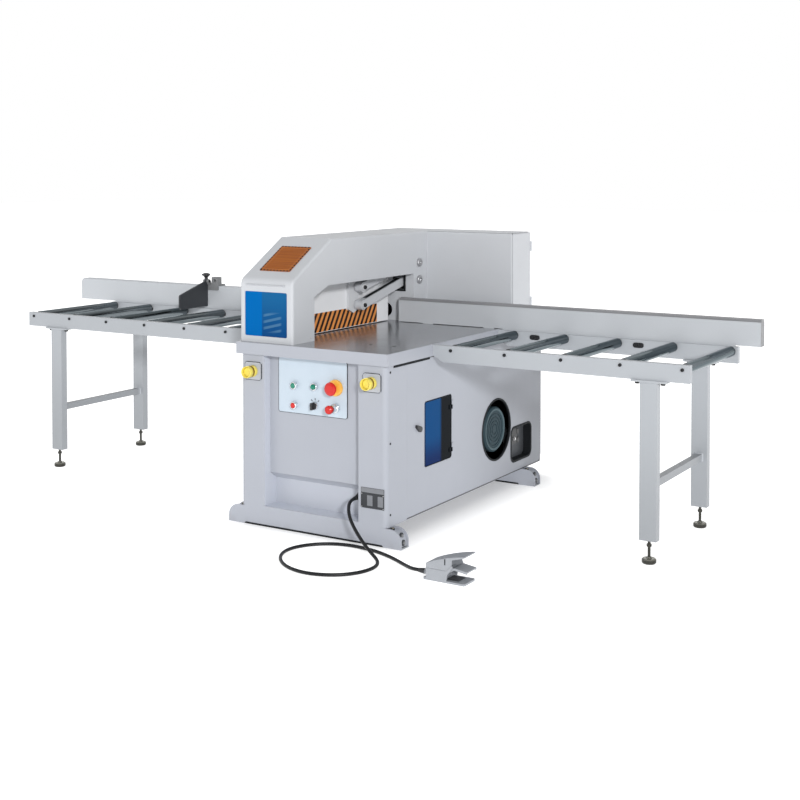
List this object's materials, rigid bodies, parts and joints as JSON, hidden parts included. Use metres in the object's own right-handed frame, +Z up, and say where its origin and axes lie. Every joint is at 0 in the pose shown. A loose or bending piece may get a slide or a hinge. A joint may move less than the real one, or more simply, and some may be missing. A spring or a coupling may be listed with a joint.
{
  "type": "pneumatic cut-off saw",
  "caption": "Up-cut pneumatic cut-off saw on a cabinet: hooded blade, hold-down guard, roller tables with fences, a length stop, two-hand controls and a foot pedal.",
  "frame": {"origin": "middle of the bounding box of everything but the cord, at floor level", "axes": "+X along the feed to the outfeed side, +Y to the rear fence, +Z up"},
  "size_m": [4.192, 2.0567, 1.321],
  "materials": {
    "cabinet_paint": "satin white powder coat",
    "panel_paint": "satin white powder coat",
    "hood_paint": "satin white powder coat",
    "rail_paint": "satin white powder coat",
    "fence_paint": "satin pale grey powder coat",
    "table_steel": "ground working face",
    "roller_steel": "bright plated tube",
    "bright_steel": "machined steel",
    "black_steel": "black oxide",
    "zinc_steel": "zinc plated",
    "blade_steel": "ground blade",
    "cast_grey": "painted casting",
    "motor_paint": "grey-green enamel",
    "cylinder_aluminium": "anodised",
    "belt_rubber": "ribbed belt",
    "blue_acrylic": "tinted sheet",
    "grille_orange": "orange-brown coat",
    "guard_paint": "black and orange bands",
    "control_plate": "pale blue-grey plate",
    "yellow_plastic": "moulded",
    "red_plastic": "moulded",
    "green_plastic": "moulded",
    "black_plastic": "moulded",
    "cord_rubber": "sheathed cable",
    "pedal_paint": "grey hammer coat"
  },
  "bodies": {
    "machine": {"table_top": "table_steel", "cabinet_frame": "cabinet_paint", "front_panel": "panel_paint", "cabinet_panels": "panel_paint", "pivot_bearings": "cast_grey", "motor": "motor_paint", "lift_cylinder": "cylinder_aluminium", "hood_shell": "hood_paint", "hood_window": "blue_acrylic", "vent_grille": "grille_orange", "rear_box": "hood_paint", "clamp_cylinder": "cylinder_aluminium", "table_rails": "rail_paint", "roller_axles": "black_steel", "leg_frames": "rail_paint", "levelling_feet": "zinc_steel", "fences": "fence_paint", "control_panel": "control_plate", "panel_lamp": "green_plastic", "palm_shrouds": "yellow_plastic", "air_regulator": "cylinder_aluminium", "cord_gland": "black_plastic", "pedal_housing": "pedal_paint", "pedal_cord": "cord_rubber"},
    "swing_arm": {"swing_arm": "cast_grey", "drive_belt": "belt_rubber"},
    "saw_spindle": {"saw_blade": "blade_steel", "arbor": "bright_steel"},
    "motor_pulley": {"motor_pulley": "cast_grey"},
    "lift_rod": {"lift_rod": "bright_steel"},
    "upper_arm": {"clamp_upper_arm": "hood_paint"},
    "lower_arm": {"clamp_lower_arm": "hood_paint"},
    "hold_down": {"hold_down_guard": "guard_paint"},
    "clamp_rod": {"clamp_rod": "bright_steel"},
    "stop_carriage": {"stop_carriage": "bright_steel"},
    "stop_plate": {"stop_plate": "black_steel"},
    "stop_knob": {"stop_knob": "black_plastic"},
    "start_button": {"start_button": "green_plastic"},
    "stop_button": {"stop_button": "red_plastic"},
    "selector": {"selector_knob": "black_plastic"},
    "emergency_stop": {"emergency_stop": "red_plastic"},
    "stop_mushroom": {"stop_mushroom": "red_plastic"},
    "left_palm": {"left_palm_button": "yellow_plastic"},
    "right_palm": {"right_palm_button": "yellow_plastic"},
    "treadle": {"pedal_treadle": "pedal_paint"},
    "box_door": {"rear_box_door": "hood_paint"},
    "side_window": {"side_window": "blue_acrylic"},
    "window_latch": {"window_latch": "black_plastic"},
    "left_roller_1": {"left_roller_1": "roller_steel"},
    "left_roller_2": {"left_roller_2": "roller_steel"},
    "left_roller_3": {"left_roller_3": "roller_steel"},
    "left_roller_4": {"left_roller_4": "roller_steel"},
    "left_roller_5": {"left_roller_5": "roller_steel"},
    "left_roller_6": {"left_roller_6": "roller_steel"},
    "left_roller_7": {"left_roller_7": "roller_steel"},
    "right_roller_1": {"right_roller_1": "roller_steel"},
    "right_roller_2": {"right_roller_2": "roller_steel"},
    "right_roller_3": {"right_roller_3": "roller_steel"},
    "right_roller_4": {"right_roller_4": "roller_steel"},
    "right_roller_5": {"right_roller_5": "roller_steel"}
  },
  "joints": [
    {"name": "left_roller_1_turn", "type": "hinge", "parent": "machine", "child": "left_roller_1", "pos_m": [-1.7936, -0.26, 0.827], "axis": [0, 1, 0], "continuous": true},
    {"name": "left_roller_2_turn", "type": "hinge", "parent": "machine", "child": "left_roller_2", "pos_m": [-1.5209, -0.26, 0.827], "axis": [0, 1, 0], "continuous": true},
    {"name": "left_roller_3_turn", "type": "hinge", "parent": "machine", "child": "left_roller_3", "pos_m": [-1.2482, -0.26, 0.827], "axis": [0, 1, 0], "continuous": true},
    {"name": "left_roller_4_turn", "type": "hinge", "parent": "machine", "child": "left_roller_4", "pos_m": [-0.9755, -0.26, 0.827], "axis": [0, 1, 0], "continuous": true},
    {"name": "left_roller_5_turn", "type": "hinge", "parent": "machine", "child": "left_roller_5", "pos_m": [-0.7028, -0.26, 0.827], "axis": [0, 1, 0], "continuous": true},
    {"name": "left_roller_6_turn", "type": "hinge", "parent": "machine", "child": "left_roller_6", "pos_m": [-0.4301, -0.26, 0.827], "axis": [0, 1, 0], "continuous": true},
    {"name": "left_roller_7_turn", "type": "hinge", "parent": "machine", "child": "left_roller_7", "pos_m": [-0.1574, -0.26, 0.827], "axis": [0, 1, 0], "continuous": true},
    {"name": "right_roller_1_turn", "type": "hinge", "parent": "machine", "child": "right_roller_1", "pos_m": [0.873, -0.26, 0.827], "axis": [0, 1, 0], "continuous": true},
    {"name": "right_roller_2_turn", "type": "hinge", "parent": "machine", "child": "right_roller_2", "pos_m": [1.1457, -0.26, 0.827], "axis": [0, 1, 0], "continuous": true},
    {"name": "right_roller_3_turn", "type": "hinge", "parent": "machine", "child": "right_roller_3", "pos_m": [1.4184, -0.26, 0.827], "axis": [0, 1, 0], "continuous": true},
    {"name": "right_roller_4_turn", "type": "hinge", "parent": "machine", "child": "right_roller_4", "pos_m": [1.6911, -0.26, 0.827], "axis": [0, 1, 0], "continuous": true},
    {"name": "right_roller_5_turn", "type": "hinge", "parent": "machine", "child": "right_roller_5", "pos_m": [1.9638, -0.26, 0.827], "axis": [0, 1, 0], "continuous": true},
    {"name": "arm_swing", "type": "hinge", "parent": "machine", "child": "swing_arm", "pos_m": [0.214, 0.4075, 0.3415], "axis": [-1, 0, 0], "range_deg": [0, 38.73]},
    {"name": "blade_spin", "type": "hinge", "parent": "swing_arm", "child": "saw_spindle", "pos_m": [0.084, -0.01799, 0.488], "axis": [1, 0, 0], "continuous": true},
    {"name": "motor_spin", "type": "hinge", "parent": "machine", "child": "motor_pulley", "pos_m": [0.384, 0.4075, 0.3415], "axis": [1, 0, 0], "continuous": true},
    {"name": "lift_stroke", "type": "slide", "parent": "machine", "child": "lift_rod", "axis": [0, 0, 1], "range_m": [0, 0.09561]},
    {"name": "upper_arm_lift", "type": "hinge", "parent": "machine", "child": "upper_arm", "pos_m": [0.16, 0.514, 1.157], "axis": [-1, 0, 0], "range_deg": [0, 16.91]},
    {"name": "lower_arm_lift", "type": "hinge", "parent": "machine", "child": "lower_arm", "pos_m": [0.16, 0.514, 1.067], "axis": [-1, 0, 0], "range_deg": [0, 16.91]},
    {"name": "hold_down_level", "type": "hinge", "parent": "upper_arm", "child": "hold_down", "pos_m": [0.16, 0.082, 1.056], "axis": [-1, 0, 0], "range_deg": [-16.91, 0]},
    {"name": "clamp_stroke", "type": "slide", "parent": "machine", "child": "clamp_rod", "axis": [0, 0, -1], "range_m": [0, 0.02095]},
    {"name": "stop_travel", "type": "slide", "parent": "machine", "child": "stop_carriage", "axis": [1, 0, 0], "range_m": [-0.85, 0.9]},
    {"name": "stop_flip", "type": "hinge", "parent": "stop_carriage", "child": "stop_plate", "pos_m": [-1.093, 0.3925, 1.0055], "axis": [-1, 0, 0], "range_deg": [0, 100]},
    {"name": "stop_lock", "type": "hinge", "parent": "stop_carriage", "child": "stop_knob", "pos_m": [-1.129, 0.431, 1.0335], "axis": [0, 0, 1], "range_deg": [0, 270]},
    {"name": "start_press", "type": "slide", "parent": "machine", "child": "start_button", "axis": [0, 1, 0], "range_m": [0, 0.005], "stiffness_N_per_m": 600, "springref_m": -0.003},
    {"name": "stop_press", "type": "slide", "parent": "machine", "child": "stop_button", "axis": [0, 1, 0], "range_m": [0, 0.005], "stiffness_N_per_m": 600, "springref_m": -0.003},
    {"name": "mushroom_press", "type": "slide", "parent": "machine", "child": "stop_mushroom", "axis": [0, 1, 0], "range_m": [0, 0.005], "stiffness_N_per_m": 600, "springref_m": -0.003},
    {"name": "emergency_press", "type": "slide", "parent": "machine", "child": "emergency_stop", "axis": [0, 1, 0], "range_m": [0, 0.005]},
    {"name": "selector_turn", "type": "hinge", "parent": "machine", "child": "selector", "pos_m": [0.357, -0.608, 0.58], "axis": [0, 1, 0], "range_deg": [-45, 45]},
    {"name": "left_palm_press", "type": "slide", "parent": "machine", "child": "left_palm", "axis": [0, 1, 0], "range_m": [0, 0.008], "stiffness_N_per_m": 900, "springref_m": -0.004},
    {"name": "right_palm_press", "type": "slide", "parent": "machine", "child": "right_palm", "axis": [0, 1, 0], "range_m": [0, 0.008], "stiffness_N_per_m": 900, "springref_m": -0.004},
    {"name": "treadle_press", "type": "hinge", "parent": "machine", "child": "treadle", "pos_m": [1.223, -0.877, 0.044], "axis": [0, 1, 0], "range_deg": [0, 9], "stiffness_Nm_per_rad": 3, "springref_deg": -22.92},
    {"name": "box_door_swing", "type": "hinge", "parent": "machine", "child": "box_door", "pos_m": [0.759, 0.808, 0.85], "axis": [0, 0, -1], "range_deg": [0, 110]},
    {"name": "side_window_swing", "type": "hinge", "parent": "machine", "child": "side_window", "pos_m": [0.768, -0.056, 0.44], "axis": [0, 0, 1], "range_deg": [0, 120]},
    {"name": "window_latch_turn", "type": "hinge", "parent": "machine", "child": "window_latch", "pos_m": [0.764, -0.359, 0.475], "axis": [1, 0, 0], "range_deg": [0, 90]}
  ],
  "couplings": [
    {"joint": "motor_spin", "follows": "blade_spin", "ratio": 0.8},
    {"joint": "lift_stroke", "follows": "arm_swing", "m_per_rad": 0.14143},
    {"joint": "lower_arm_lift", "follows": "upper_arm_lift", "ratio": 1},
    {"joint": "hold_down_level", "follows": "upper_arm_lift", "ratio": -1},
    {"joint": "clamp_stroke", "follows": "upper_arm_lift", "m_per_rad": 0.071}
  ]
}
